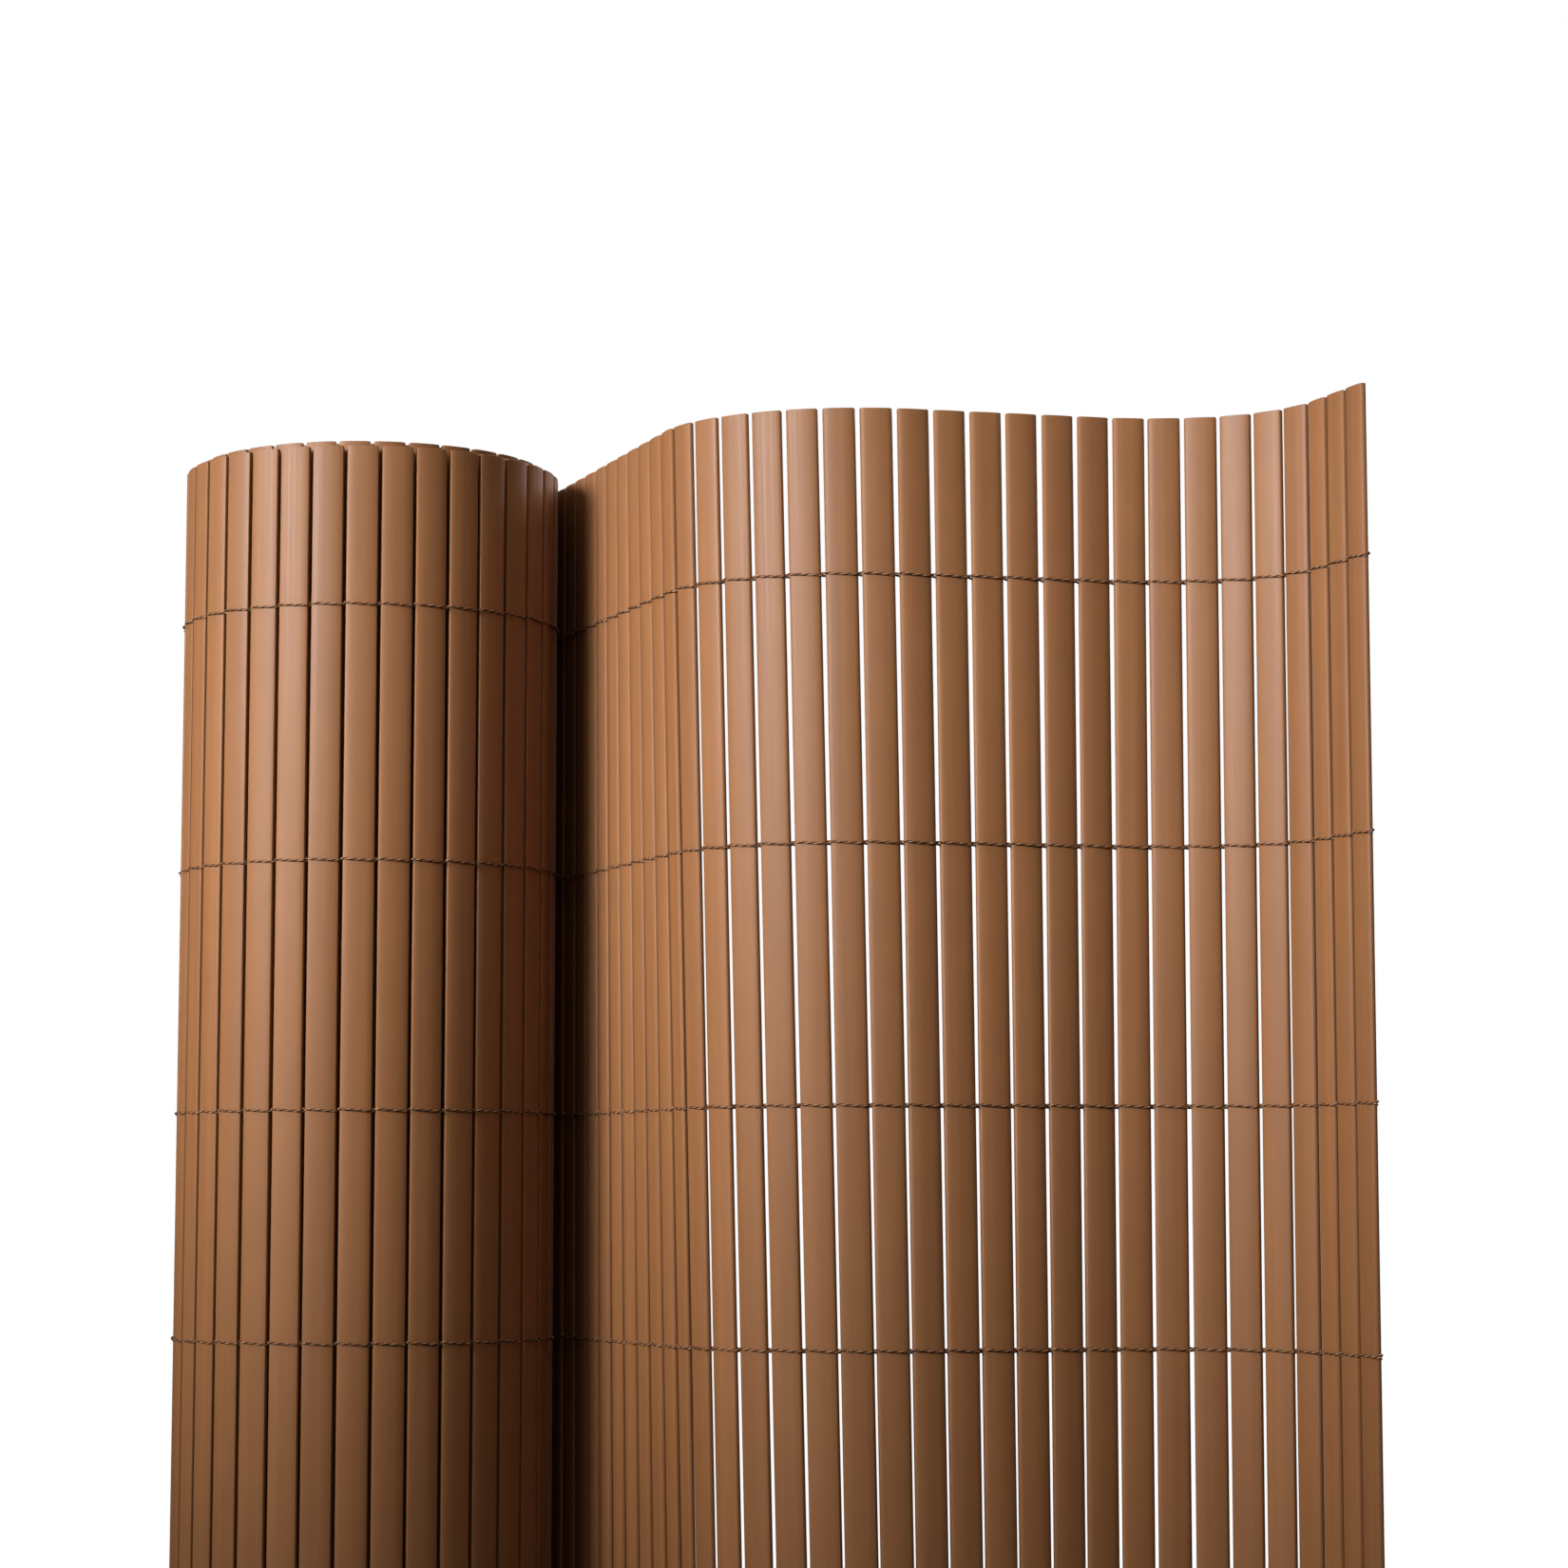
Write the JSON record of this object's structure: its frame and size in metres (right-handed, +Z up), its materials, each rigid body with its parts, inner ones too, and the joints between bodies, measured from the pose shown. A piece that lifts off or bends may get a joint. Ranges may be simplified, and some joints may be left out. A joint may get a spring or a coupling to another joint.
{
  "type": "privacy fence mat",
  "caption": "Privacy fence mat of hollow brown PVC slats bound by rows of twined cord, standing on end, partly rolled up and partly run out in a loose wave.",
  "frame": {"origin": "middle of the plan box, at the floor that the mat stands on", "axes": "+X to the right along the run-out stretch, +Y away from the viewer, +Z up along the slats"},
  "size_m": [0.672, 0.4024, 0.904],
  "materials": {
    "slat_pvc": "satin, faintly streaked along the slat",
    "binding_cord": "twisted synthetic yarn"
  },
  "bodies": {
    "root": {"slat_01": "slat_pvc", "slat_02": "slat_pvc", "slat_03": "slat_pvc", "slat_04": "slat_pvc", "slat_05": "slat_pvc", "slat_06": "slat_pvc", "slat_07": "slat_pvc", "slat_08": "slat_pvc", "slat_09": "slat_pvc", "slat_10": "slat_pvc", "slat_11": "slat_pvc", "slat_12": "slat_pvc", "slat_13": "slat_pvc", "slat_14": "slat_pvc", "slat_15": "slat_pvc", "slat_16": "slat_pvc", "slat_17": "slat_pvc", "slat_18": "slat_pvc", "slat_19": "slat_pvc", "slat_20": "slat_pvc", "slat_21": "slat_pvc", "slat_22": "slat_pvc", "slat_23": "slat_pvc", "slat_24": "slat_pvc", "slat_25": "slat_pvc", "slat_26": "slat_pvc", "slat_27": "slat_pvc", "slat_28": "slat_pvc", "slat_29": "slat_pvc", "slat_30": "slat_pvc", "slat_31": "slat_pvc", "slat_32": "slat_pvc", "slat_33": "slat_pvc", "roll_turn_1": "slat_pvc", "roll_turn_2": "slat_pvc", "roll_turn_3": "slat_pvc", "roll_turn_4": "slat_pvc", "cord_1_outer": "binding_cord", "cord_1_inner": "binding_cord", "cord_2_outer": "binding_cord", "cord_2_inner": "binding_cord", "cord_3_outer": "binding_cord", "cord_3_inner": "binding_cord", "cord_4_outer": "binding_cord", "cord_4_inner": "binding_cord", "cord_5_outer": "binding_cord", "cord_5_inner": "binding_cord", "cord_6_outer": "binding_cord", "cord_6_inner": "binding_cord"}
  },
  "joints": []
}
